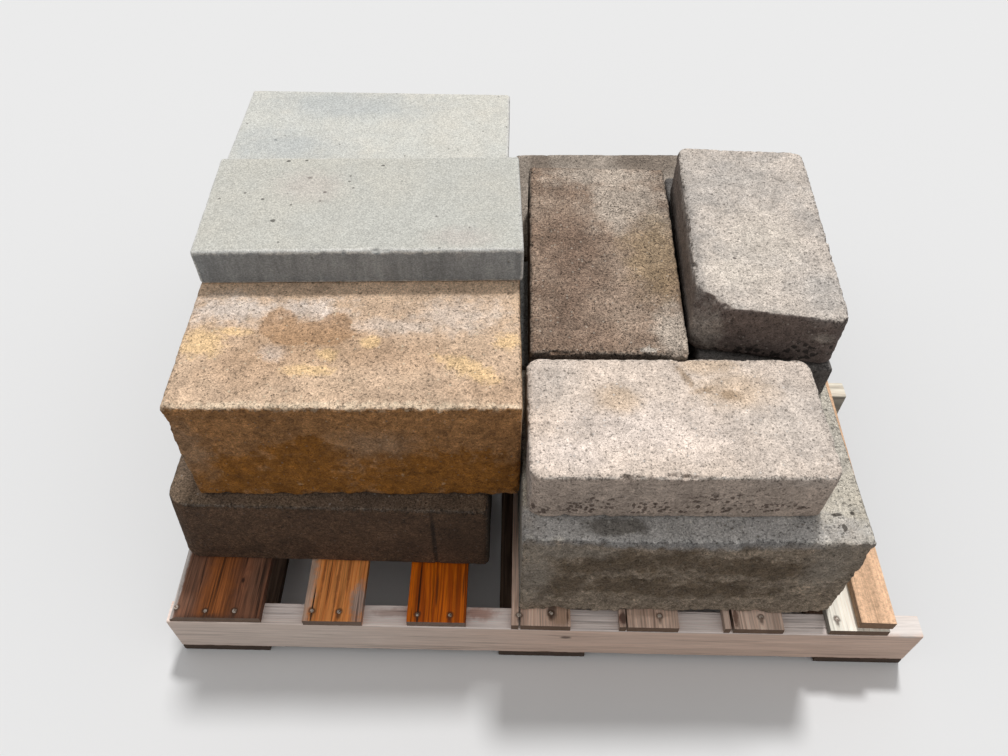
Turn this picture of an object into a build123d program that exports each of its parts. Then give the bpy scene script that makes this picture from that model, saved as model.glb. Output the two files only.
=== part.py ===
from build123d import *
import os

# Pallet of concrete blocks. Millimetres, +Z up, X along the stringers, Y from front to rear.
# The origin is the middle of the pallet's footprint, on the floor.
# A block's left and front sizes place its front left corner as it was laid, from the pallet's own
# front left corner or from the block named.

# Pallet: its stringers run on past the load by the bare end
pallet_depth = 960.0
bare_end = 139.0
stringer_width = 34.0
stringer_height = 88.0
board_thickness = 15.0
lead_board_width = 137.0
board_width = 89.0
deck_left_margin = 6.0
deck_right_margin = 55.0
board_arris = 1.0
stringer_arris = 1.5

# How far each deck board lies from its even place, and how it is turned in plan
board_shifts = [0.0, -4.0, -5.0, -5.0, 0.0, 0.0, 0.0]
board_turns = [0.3, 0.3, 0.0, -0.2, 0.0, 0.0, 0.0]
board_end_shifts = [1.0, -0.8, 1.2, -1.0, -0.6, 0.0, 0.6]

# Wane along the left edge of the first board
wane_width = 12.0
wane_drop = 9.0
wane_fade = 0.45

# Splits in the deck boards: place across the board, width at the front end, length
split_boards = {4: (11.0, 3.0, 300.0), 5: (10.0, 2.0, 240.0), 6: (9.0, 5.0, 210.0)}

# Loose board on the last deck board
loose_length = 620.0
loose_width = 52.0
loose_thickness = 19.0
loose_gap = 36.0
loose_front = 5.6
loose_turn = -1.0

# Block heights
tall_height = 209.0
tan_height = 202.0
charcoal_height = 158.0
half_height = 98.0
slab_height = 60.0

# Charcoal block, front left on the deck
charcoal_width = 465.0
charcoal_depth = 300.0
charcoal_left = 20.0
charcoal_front = 99.0
charcoal_turn = -0.5
charcoal_worn_corner = 32.0
charcoal_sound_corner = 10.0
charcoal_foot_spread = 17.0
charcoal_groove_inset = 81.0
charcoal_groove_width = 7.0
charcoal_groove_depth = 5.0

# Tan block, on the charcoal block
tan_width = 459.0
tan_depth = 305.0
tan_left = 50.0
tan_front = 15.0
tan_turn = 1.2

# Grey slabs: the upper one lies on the tan block, the rear one stands a step lower
slab_width = 460.0
slab_depth = 219.0
slab_setback = 227.0
slab_inset = 3.0
slab_turn = 1.0
rear_slab_width = 465.0
rear_left = 38.0

# Split face block, front right on the deck
split_face_width = 470.0
split_face_depth = 305.0
split_face_front = 20.0
split_face_turn = 0.7
column_gap = 2.0
notch_inset = 39.0
notch_width = 34.0
notch_rise = 9.0
notch_depth = 14.0

# Tumbled blocks, beige: one on the split face block, one at the rear right
tumbled_length = 402.0
tumbled_width = 204.0
tumbled_corner = 20.0
tumbled_edge = 7.0
front_tumbled_left = 6.0
front_tumbled_front = 38.0
front_tumbled_turn = 0.5
rear_tumbled_width = 211.0
rear_tumbled_skew = 22.0
rear_tumbled_foot = 14.0
rear_tumbled_turn = -2.3
rear_tumbled_inset = 16.0
rear_tumbled_front = 9.0
broken_corner_back = 46.0
broken_corner_side = 56.0
broken_corner_drop = 74.0

# Dark brown block, long way front to rear
brown_front_width = 229.0
brown_rear_width = 239.0
brown_depth = 442.0
brown_left = 7.0
brown_gap = 9.0

# Dark slab under the rear tumbled block
dark_slab_width = 198.0
dark_slab_depth = 459.0
dark_slab_front = 9.0
side_gap = 9.0

# Blocks of the rear rows on the deck, mostly hidden
base_width = 458.0
base_depth = 305.0
base_gap = 28.0
base_turn = 1.6
row_gap = 5.0
middle_depth = 185.0
centre_depth = 246.0

# Worn edges of the cast blocks and slabs
cast_arris = 4.0
slab_arris = 2.5

# Worked out
right_left = charcoal_left + tan_left + tan_width + column_gap
load_right = right_left + split_face_width
pallet_length = load_right + bare_end
stringer_top = board_thickness + stringer_height
deck_top = stringer_top + board_thickness
narrow_boards = 6
deck_run = pallet_length - deck_left_margin - deck_right_margin
deck_gap = (deck_run - lead_board_width - narrow_boards * board_width) / narrow_boards
tan_bottom = deck_top + charcoal_height
tall_top = deck_top + tall_height

corner = (Align.MIN, Align.MIN)


def beside(plane, right, back, up=0.0, turn=0.0):
    """Plane laid off from another piece's corner plane."""
    return Plane(plane.location * Location((right, back, up), (0, 0, turn)))


def cast_block(name, plane, width, depth, height, arris):
    """A cast block standing on the plane, with every edge worn back by the same small amount."""
    with BuildPart() as block:
        with BuildSketch(plane):
            Rectangle(width, depth, align=corner)
        extrude(amount=height)
        chamfer(block.edges(), length=arris)
    block.part.label = name
    return block


def sawn_piece(name, plane, width, depth, height, arris):
    """A sawn board or stringer, its four long arrises just broken."""
    with BuildPart() as piece:
        with BuildSketch(plane):
            Rectangle(width, depth, align=corner)
        extrude(amount=height)
        chamfer(piece.edges().group_by(SortBy.LENGTH)[-1], length=arris)
    piece.part.label = name
    return piece


def cut_plane(plane, first, second, third):
    """Plane through three points given on a block's corner plane, facing away from its middle."""
    normal = (second - first).cross(third - first).normalized()
    return Plane(plane.location * Plane(origin=first, z_dir=normal).location)


def export(piece):
    """Write a finished piece under its label."""
    export_step(piece.part, f"parts/{piece.part.label}.step")


os.makedirs("parts", exist_ok=True)

# Corner planes that other pieces are laid off from
pallet_at = Plane((-pallet_length / 2, -pallet_depth / 2, 0))
charcoal_at = beside(pallet_at, charcoal_left, charcoal_front, deck_top, charcoal_turn)
tan_at = beside(pallet_at, charcoal_left + tan_left, charcoal_front + tan_front, tan_bottom, tan_turn)
split_face_at = beside(pallet_at, right_left, split_face_front, deck_top, split_face_turn)

# Stringers: three lengths of lumber on edge
for place, name in enumerate(["stringer_front", "stringer_middle", "stringer_rear"]):
    front = place * (pallet_depth - stringer_width) / 2
    at = beside(pallet_at, 0, front, board_thickness)
    export(sawn_piece(name, at, pallet_length, stringer_width, stringer_height, stringer_arris))

# Bottom boards: three, across the stringers, at the ends and the middle
for place, name in enumerate(["bottom_board_left", "bottom_board_centre", "bottom_board_right"]):
    left = place * (pallet_length - lead_board_width) / 2
    at = beside(pallet_at, left, 0)
    export(sawn_piece(name, at, lead_board_width, pallet_depth, board_thickness, board_arris))


def deck_board_plane(number):
    """Front left bottom corner of a deck board, counted from the left."""
    even = deck_left_margin
    if number > 1:
        even += lead_board_width + deck_gap + (number - 2) * (board_width + deck_gap)
    left = even + board_shifts[number - 1]
    front = board_end_shifts[number - 1]
    return beside(pallet_at, left, front, stringer_top, board_turns[number - 1])


# Deck boards: a wide lead board and six narrow ones, some split from the front end
for number in range(1, narrow_boards + 2):
    width = lead_board_width if number == 1 else board_width
    at = deck_board_plane(number)
    with BuildPart() as deck_board:
        with BuildSketch(at):
            Rectangle(width, pallet_depth, align=corner)
        extrude(amount=board_thickness)
        chamfer(deck_board.edges().group_by(SortBy.LENGTH)[-1].sort_by(Axis.Z)[-2:], length=board_arris)
        if number == 1:
            # Wane: the bark edge of the log, widest at the front and fading to the rear
            wane_front = Vector(wane_width, 0, board_thickness)
            wane_rear = Vector(wane_width * wane_fade, pallet_depth, board_thickness)
            wane_foot = Vector(0, 0, board_thickness - wane_drop)
            split(bisect_by=cut_plane(at, wane_front, wane_rear, wane_foot), keep=Keep.BOTTOM)
        if number in split_boards:
            across, opening, run = split_boards[number]
            with BuildSketch(at):
                Polygon((across, -1), (across + opening, -1), (across + opening / 2, run), align=None)
            extrude(amount=board_thickness, mode=Mode.SUBTRACT)
    deck_board.part.label = f"deck_board_{number}"
    export(deck_board)

# Loose board: a rough batten lying on the last deck board
loose_at = beside(pallet_at, load_right + loose_gap, loose_front, deck_top, loose_turn)
export(sawn_piece("loose_board", loose_at, loose_width, loose_length, loose_thickness, board_arris))

# Charcoal block: its left end leans out to the foot and is worn round, and a groove runs down its face
with BuildPart() as charcoal_block:
    with BuildSketch(Plane(charcoal_at.location * Plane.XZ.location)):
        Polygon(
            (-charcoal_foot_spread, 0),
            (charcoal_width, 0),
            (charcoal_width, charcoal_height),
            (0, charcoal_height),
            align=None,
        )
    extrude(amount=-charcoal_depth)
    uprights = charcoal_block.edges().sort_by(SortBy.LENGTH)[:4].sort_by(Axis.X)
    fillet(uprights[:2], radius=charcoal_worn_corner)
    fillet(charcoal_block.edges().filter_by(Axis.Z), radius=charcoal_sound_corner)
    chamfer(charcoal_block.faces().filter_by(Axis.Z).edges(), length=cast_arris)
    with BuildSketch(charcoal_at):
        with Locations((charcoal_width - charcoal_groove_inset, 0)):
            Polygon(
                (-charcoal_groove_width / 2, 0),
                (charcoal_groove_width / 2, 0),
                (0, charcoal_groove_depth),
                align=None,
            )
    extrude(amount=charcoal_height, mode=Mode.SUBTRACT)
charcoal_block.part.label = "charcoal_block"
export(charcoal_block)

# Tan block, on the charcoal block
export(cast_block("tan_block", tan_at, tan_width, tan_depth, tan_height, cast_arris))

# Upper grey slab, across the rear of the tan block and the block behind it
upper_slab_at = beside(tan_at, slab_inset, slab_setback, tan_height, slab_turn)
export(cast_block("grey_slab_upper", upper_slab_at, slab_width, slab_depth, slab_height, slab_arris))

# Hidden blocks behind the charcoal and the tan block, which carry the upper slab's rear half
middle_at = beside(tan_at, 0, tan_depth + row_gap, -charcoal_height)
middle_top_at = beside(middle_at, 0, 0, charcoal_height)
for name, at, height in [
    ("left_middle_lower_block", middle_at, charcoal_height),
    ("left_middle_upper_block", middle_top_at, tan_height),
]:
    export(cast_block(name, at, tan_width, middle_depth, height, cast_arris))

# Rear left stack: a tall block, a half height block and the rear slab
rear_front = charcoal_front + tan_front + tan_depth + middle_depth + 4 * row_gap
rear_at = beside(pallet_at, rear_left, rear_front, deck_top)
rear_half_at = beside(rear_at, 0, 0, tall_height)
rear_slab_at = beside(rear_half_at, 0, 0, half_height)
export(cast_block("left_rear_base_block", rear_at, base_width, base_depth, tall_height, cast_arris))
export(
    cast_block(
        "left_rear_half_block", rear_half_at, tumbled_length, tumbled_width, half_height, cast_arris
    )
)
export(cast_block("grey_slab_rear", rear_slab_at, rear_slab_width, slab_depth, slab_height, slab_arris))

# Split face block, with a small arched notch at the foot of its face
with BuildPart() as split_face_block:
    with BuildSketch(split_face_at):
        Rectangle(split_face_width, split_face_depth, align=corner)
    extrude(amount=tall_height)
    chamfer(split_face_block.edges(), length=cast_arris)
    with BuildSketch(Plane(split_face_at.location * Plane.XZ.location)):
        with Locations((notch_inset + notch_width / 2, 0)):
            Ellipse(notch_width / 2, notch_rise)
    extrude(amount=-notch_depth, mode=Mode.SUBTRACT)
split_face_block.part.label = "split_face_block"
export(split_face_block)

# Front tumbled block, on the split face block
front_tumbled_at = beside(
    split_face_at, front_tumbled_left, front_tumbled_front, tall_height, front_tumbled_turn
)
with BuildPart() as tumbled_block_front:
    with BuildSketch(front_tumbled_at):
        with Locations((tumbled_length / 2, tumbled_width / 2)):
            RectangleRounded(tumbled_length, tumbled_width, tumbled_corner)
    extrude(amount=half_height)
    fillet(tumbled_block_front.faces().filter_by(Axis.Z).edges(), radius=tumbled_edge)
tumbled_block_front.part.label = "tumbled_block_front"
export(tumbled_block_front)

# Hidden block behind the split face block, and the base block at the rear right
centre_at = beside(split_face_at, 0, split_face_depth + row_gap)
export(cast_block("right_middle_block", centre_at, split_face_width, centre_depth, tall_height, cast_arris))
base_left = rear_left + base_width + base_gap
base_front = split_face_front + split_face_depth + centre_depth + 3 * row_gap
base_at = beside(pallet_at, base_left, base_front, deck_top, base_turn)
export(cast_block("brown_base_block", base_at, base_width, base_depth, tall_height, cast_arris))

# Dark brown block: a wall block that widens to the rear
brown_front = split_face_front + front_tumbled_front + tumbled_width + brown_gap
brown_at = beside(pallet_at, right_left + brown_left, brown_front, tall_top)
with BuildPart() as dark_brown_block:
    with BuildSketch(brown_at):
        Polygon(
            (0, 0),
            (brown_front_width, 0),
            (brown_rear_width, brown_depth),
            (0, brown_depth),
            align=None,
        )
    extrude(amount=half_height)
    chamfer(dark_brown_block.edges(), length=cast_arris)
dark_brown_block.part.label = "dark_brown_block"
export(dark_brown_block)

# Dark slab beside it, long way front to rear
dark_slab_at = beside(brown_at, brown_rear_width + side_gap, dark_slab_front)
export(cast_block("dark_slab", dark_slab_at, dark_slab_width, dark_slab_depth, slab_height, slab_arris))

# Rear tumbled block, on the dark slab: its face is askew, and its front left top corner is broken off
rear_tumbled_at = beside(
    dark_slab_at, -rear_tumbled_inset, rear_tumbled_front, slab_height, rear_tumbled_turn
)
with BuildPart() as tumbled_block_rear:
    with BuildSketch(rear_tumbled_at):
        Polygon(
            (0, rear_tumbled_skew),
            (rear_tumbled_width, 0),
            (rear_tumbled_width, tumbled_length),
            (0, tumbled_length),
            align=None,
        )
    extrude(amount=half_height)
    fillet(tumbled_block_rear.edges().filter_by(Axis.Z), radius=tumbled_corner)
    fillet(tumbled_block_rear.faces().sort_by(Axis.Z)[-1].edges(), radius=tumbled_edge)
    fillet(tumbled_block_rear.faces().sort_by(Axis.Z)[0].edges(), radius=rear_tumbled_foot)
    skew_at_break = rear_tumbled_skew * (1 - broken_corner_side / rear_tumbled_width)
    break_side = Vector(broken_corner_side, skew_at_break, half_height)
    break_back = Vector(0, rear_tumbled_skew + broken_corner_back, half_height)
    break_foot = Vector(0, rear_tumbled_skew, half_height - broken_corner_drop)
    split(bisect_by=cut_plane(rear_tumbled_at, break_side, break_back, break_foot), keep=Keep.BOTTOM)
tumbled_block_rear.part.label = "tumbled_block_rear"
export(tumbled_block_rear)
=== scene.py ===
import math
import bmesh
import bpy
import numpy as np
from mathutils import Matrix, Vector, noise


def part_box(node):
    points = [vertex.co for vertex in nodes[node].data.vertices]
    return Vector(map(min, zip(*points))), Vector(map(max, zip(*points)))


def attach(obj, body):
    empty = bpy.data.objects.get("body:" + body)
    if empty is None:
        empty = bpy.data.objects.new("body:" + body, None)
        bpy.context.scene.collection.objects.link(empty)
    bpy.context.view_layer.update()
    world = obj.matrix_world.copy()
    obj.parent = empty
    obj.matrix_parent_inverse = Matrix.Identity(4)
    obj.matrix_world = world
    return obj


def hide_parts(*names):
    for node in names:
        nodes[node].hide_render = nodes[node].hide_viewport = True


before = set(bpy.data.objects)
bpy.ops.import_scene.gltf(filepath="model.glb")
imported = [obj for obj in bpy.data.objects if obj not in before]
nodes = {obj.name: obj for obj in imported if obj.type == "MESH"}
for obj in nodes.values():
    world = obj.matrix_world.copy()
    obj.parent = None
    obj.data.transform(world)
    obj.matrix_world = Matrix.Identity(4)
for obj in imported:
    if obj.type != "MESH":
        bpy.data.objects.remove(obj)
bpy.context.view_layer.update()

# A used pallet loaded with mixed concrete wall blocks. Metres, +Z up, Y from front to rear.

MM = 0.001

# Blocks: how each was turned in plan, in degrees. In millimetres: the faces of its worn surface, the
# usual rounding of its edges, how far their raggedness goes, how far larger breaks go, and how uneven
# its faces are.
BLOCKS = {
    "charcoal_block": dict(turn=-0.5, face=3.8, wear=3.5, ragged=4.0, breaks=8.0, uneven=1.1),
    "tan_block": dict(turn=1.2, face=3.3, wear=2.0, ragged=10.0, breaks=16.0, uneven=1.6),
    "grey_slab_upper": dict(turn=2.2, face=2.8, wear=1.2, ragged=8.0, breaks=3.0, uneven=0.4),
    "grey_slab_rear": dict(turn=0.0, face=3.4, wear=1.5, ragged=7.0, breaks=4.0, uneven=0.4),
    "split_face_block": dict(turn=0.7, face=3.5, wear=1.6, ragged=6.0, breaks=14.0, uneven=0.7),
    "tumbled_block_front": dict(turn=1.2, face=2.8, wear=4.0, ragged=11.0, breaks=22.0, uneven=2.2),
    "dark_brown_block": dict(turn=0.0, face=3.4, wear=3.0, ragged=11.0, breaks=18.0, uneven=2.2),
    "dark_slab": dict(turn=0.0, face=4.6, wear=3.0, ragged=5.0, breaks=10.0, uneven=1.0),
    "tumbled_block_rear": dict(turn=-2.3, face=2.8, wear=4.5, ragged=12.0, breaks=24.0, uneven=2.4),
    "brown_base_block": dict(turn=1.6, face=5.2, wear=3.0, ragged=6.0, breaks=18.0, uneven=1.4),
    "left_middle_lower_block": dict(turn=1.2, face=7.0, wear=3.0, ragged=5.0, breaks=10.0, uneven=1.0),
    "left_middle_upper_block": dict(turn=1.2, face=6.5, wear=3.0, ragged=5.0, breaks=10.0, uneven=1.2),
    "left_rear_base_block": dict(turn=0.0, face=5.5, wear=3.0, ragged=6.0, breaks=20.0, uneven=1.2),
    "left_rear_half_block": dict(turn=0.0, face=5.0, wear=5.0, ragged=6.0, breaks=20.0, uneven=1.6),
    "right_middle_block": dict(turn=0.7, face=7.0, wear=2.0, ragged=5.0, breaks=10.0, uneven=0.8),
}
SMALLEST_WEAR = 0.6
LARGEST_WEAR = 22

# How far in from an edge its concrete may have lost its skin
EDGE_REACH = 9 * MM

# CAD vertices are joined within this distance, and faces within this angle are taken as flat
JOIN_WITHIN = 0.02 * MM
FLAT_WITHIN = math.radians(0.5)

# Split faces: how deep the broken face is eaten back in millimetres, and how far in the block follows it
SPLIT_FACES = {"split_face_block": 8.0, "tan_block": 6.0, "left_rear_base_block": 8.0}
SPLIT_REACH = 48 * MM

# A block's broken corner, blunted inside this box before it is worn
BROKEN_CORNERS = {"tumbled_block_rear": ((0.17, -0.26, 0.38), (0.30, -0.09, 0.50))}
BLUNTING_PASSES = 12

# Worn places that the photograph shows on the edges: the place in metres, then in millimetres how much
# more the edge is rounded there and how far along it that reaches
SEEN_WEAR = {
    "charcoal_block": [((-0.085, -0.388, 0.276), 8, 60)],
    "tan_block": [
        ((-0.280, -0.357, 0.478), 2, 130), ((-0.514, -0.366, 0.445), 12, 22),
        ((-0.514, -0.366, 0.400), 8, 30), ((-0.484, -0.366, 0.478), 7, 12), ((-0.052, -0.352, 0.300), 8, 30)],
    "grey_slab_upper": [
        ((-0.335, -0.133, 0.538), 5, 12), ((-0.245, -0.129, 0.538), 5, 16), ((-0.180, -0.127, 0.538), 5, 14)],
    "split_face_block": [
        ((0.437, -0.452, 0.300), 8, 22), ((0.437, -0.452, 0.235), 11, 30), ((0.437, -0.452, 0.150), 9, 30),
        ((0.200, -0.455, 0.327), 5, 30)],
    "tumbled_block_front": [
        ((0.166, -0.419, 0.425), 9, 16), ((0.110, -0.420, 0.425), 4, 30), ((0.262, -0.210, 0.425), 8, 12),
        ((0.330, -0.206, 0.425), 6, 16), ((0.190, -0.214, 0.425), 5, 20), ((0.405, -0.408, 0.385), -7, 60)],
    "tumbled_block_rear": [
        ((0.419, -0.010, 0.485), 7, 18), ((0.423, 0.035, 0.485), 5, 14), ((0.411, -0.070, 0.485), 5, 20),
        ((0.202, -0.075, 0.485), 6, 24), ((0.204, 0.010, 0.485), 5, 20), ((0.406, -0.199, 0.485), 6, 24)],
    "dark_brown_block": [((0.130, -0.209, 0.425), 5, 20), ((0.190, -0.209, 0.425), 7, 20)],
}


def top_of(node):
    """The height of a CAD node's top."""
    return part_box(node)[1][2]


# Shaping helpers

def fractal(points, feature, octaves, seed):
    """Fractal noise at each point; its widest features are as long as given, in metres."""
    places = points / feature + 13.7 * seed
    return np.array([noise.fractal(place, 1.0, 2.1, octaves) for place in places.tolist()])


def rotated(points, degrees):
    """The points turned in plan about the origin."""
    angle = math.radians(degrees)
    cosine = math.cos(angle)
    sine = math.sin(angle)
    turned = points.copy()
    turned[:, 0] = points[:, 0] * cosine - points[:, 1] * sine
    turned[:, 1] = points[:, 0] * sine + points[:, 1] * cosine
    return turned


def of_vertices(mesh, name):
    """The vertices' places, named co, or their normals, named normal."""
    values = np.zeros(len(mesh.vertices) * 3)
    mesh.vertices.foreach_get(name, values)
    return values.reshape(-1, 3)


def set_places(mesh, places):
    mesh.vertices.foreach_set("co", places.ravel())
    mesh.update()


def sink(mesh, places, depth):
    """Puts the vertices at the places, then moves each inward by its depth."""
    set_places(mesh, places)
    set_places(mesh, places - of_vertices(mesh, "normal") * depth[:, None])


def new_object(name, data):
    made = bpy.data.objects.new(name, data)
    bpy.context.scene.collection.objects.link(made)
    return made


def applied(holder):
    """The mesh that an object's modifiers make. The object itself goes."""
    graph = bpy.context.evaluated_depsgraph_get()
    mesh = bpy.data.meshes.new_from_object(holder.evaluated_get(graph))
    bpy.data.objects.remove(holder)
    return mesh


def merged_copy(node):
    """A copy of a CAD node's mesh with its loose triangles joined."""
    mesh = nodes[node].data.copy()
    mesh.materials.clear()
    work = bmesh.new()
    work.from_mesh(mesh)
    bmesh.ops.remove_doubles(work, verts=work.verts, dist=JOIN_WITHIN)
    bmesh.ops.dissolve_limit(
        work, angle_limit=FLAT_WITHIN, verts=work.verts, edges=work.edges, delimit={"NORMAL"})
    work.to_mesh(mesh)
    work.free()
    if "custom_normal" in mesh.attributes:
        mesh.attributes.remove(mesh.attributes["custom_normal"])
    return mesh


def evenly_faced(node, face):
    """The node's shape with small, even faces."""
    rough = new_object("rough", merged_copy(node))
    remesh = rough.modifiers.new("even_faces", "REMESH")
    remesh.mode = "VOXEL"
    remesh.voxel_size = face * MM
    return applied(rough)


def blunted(mesh, low, high):
    """Smooths the part of a mesh inside a box, to blunt the sharp ridges there."""
    work = bmesh.new()
    work.from_mesh(mesh)
    inside = [v for v in work.verts if all(low[i] < v.co[i] < high[i] for i in range(3))]
    every_way = dict(use_axis_x=True, use_axis_y=True, use_axis_z=True)
    for _ in range(BLUNTING_PASSES):
        bmesh.ops.smooth_vert(work, verts=inside, factor=0.5, **every_way)
    work.to_mesh(mesh)
    work.free()


def wear_radius(node, local, seed):
    """How far the edge near each point is rounded: it changes along the edge, and grows at breaks."""
    values = BLOCKS[node]
    slow = fractal(local, 70 * MM, 2, seed)
    quick = fractal(local, 10 * MM, 4, seed + 1)
    larger = fractal(local, 32 * MM, 4, seed + 6)
    radius = values["wear"] * (1 + 0.5 * slow) + values["ragged"] * np.clip(quick - 0.05, 0, 1)
    radius += values["breaks"] * np.clip(larger - 0.32, 0, 1)
    for place, more, reach in SEEN_WEAR.get(node, []):
        spot = rotated(np.array([place]), -values["turn"])
        away = np.linalg.norm(local - spot, axis=1) / (reach * MM)
        radius += more * np.exp(-away ** 2) * (1 + 0.8 * quick)
    return np.clip(radius, SMALLEST_WEAR, LARGEST_WEAR)[:, None] * MM


def round_edged(from_middle, half, radius):
    """Points of a block, seen from its middle, drawn in to edges of the given radii."""
    past = np.abs(from_middle) - (half - radius)
    reach = np.clip(past, 0, None)
    length = np.linalg.norm(reach, axis=1, keepdims=True)
    pull = np.where(length > radius, radius / np.maximum(length, 1e-9), 1.0)
    drawn_in = np.where(past > 0, half - radius + reach * pull, np.abs(from_middle))
    return np.sign(from_middle) * drawn_in


def split_relief(node, local, front, seed):
    """How far a split face is eaten back in hollows and ledges, and how much painted shade its sunken places
    get, at each point.
    """
    across = local.copy()
    across[:, 1] = 0
    hollows = fractal(across, 75 * MM, 5, seed + 2)
    ledges = np.abs(fractal(across, 30 * MM, 4, seed + 3))
    crumbs = fractal(across, 11 * MM, 4, seed + 7)
    eaten = np.clip(0.22 + 0.36 * hollows + 0.45 * ledges + 0.36 * crumbs, 0, 1)
    fade = np.clip(1 - (local[:, 1] - front) / SPLIT_REACH, 0, 1)
    return SPLIT_FACES[node] * MM * eaten * fade, 0.7 * (0.6 * ledges + crumbs) * fade


def worn_block(node):
    """A block with worn edges, chips, and the uneven surface of cast or split concrete."""
    values = BLOCKS[node]
    seed = sorted(BLOCKS).index(node)
    mesh = evenly_faced(node, values["face"])
    if node in BROKEN_CORNERS:
        blunted(mesh, *BROKEN_CORNERS[node])
    local = rotated(of_vertices(mesh, "co"), -values["turn"])
    low = local.min(0)
    high = local.max(0)
    middle = (low + high) / 2
    half = (high - low) / 2
    local = middle + round_edged(local - middle, half, wear_radius(node, local, seed))

    # For the finish: how near each point is to an edge, 1 on it and 0 well away, and how much painted shade
    # it gets where sunken
    inset = np.sort(half - np.abs(local - middle), axis=1)[:, 1]
    edge_mark = np.clip(1 - inset / EDGE_REACH, 0, 1)
    hollow = np.zeros(len(local))
    if node in SPLIT_FACES:
        eaten, sunken_shade = split_relief(node, local, low[1], seed)
        local[:, 1] += eaten
        hollow += sunken_shade

    points = rotated(local, values["turn"])
    lumps = fractal(points, 60 * MM, 3, seed + 4)
    grit = fractal(points, 9 * MM, 3, seed + 5)
    depth = values["uneven"] * MM * np.clip(0.5 + 0.35 * lumps + 0.40 * grit, 0, 1.2)
    sink(mesh, points, depth)
    # The deeper grit takes painted shade too
    hollow += 0.25 * values["uneven"] * grit
    for name, marks in (("worn_edge", edge_mark), ("hollow", hollow)):
        attribute = mesh.attributes.new(name, "FLOAT", "POINT")
        attribute.data.foreach_set("value", marks)
    mesh.shade_smooth()
    return mesh


# Node helpers

def feed(socket, value):
    """Sets a socket to a number or colour, or links it to another socket."""
    if isinstance(value, bpy.types.NodeSocket):
        socket.id_data.links.new(value, socket)
    elif isinstance(value, tuple) and len(value) == 3 and socket.type == "RGBA":
        socket.default_value = (*value, 1.0)
    else:
        socket.default_value = value


def add_node(tree, kind, sockets=None, **settings):
    """A node with its settings, and with its sockets fed by name or number."""
    node = tree.nodes.new(kind)
    for name, value in settings.items():
        setattr(node, name, value)
    for socket, value in (sockets or {}).items():
        feed(node.inputs[socket], value)
    return node


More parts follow.
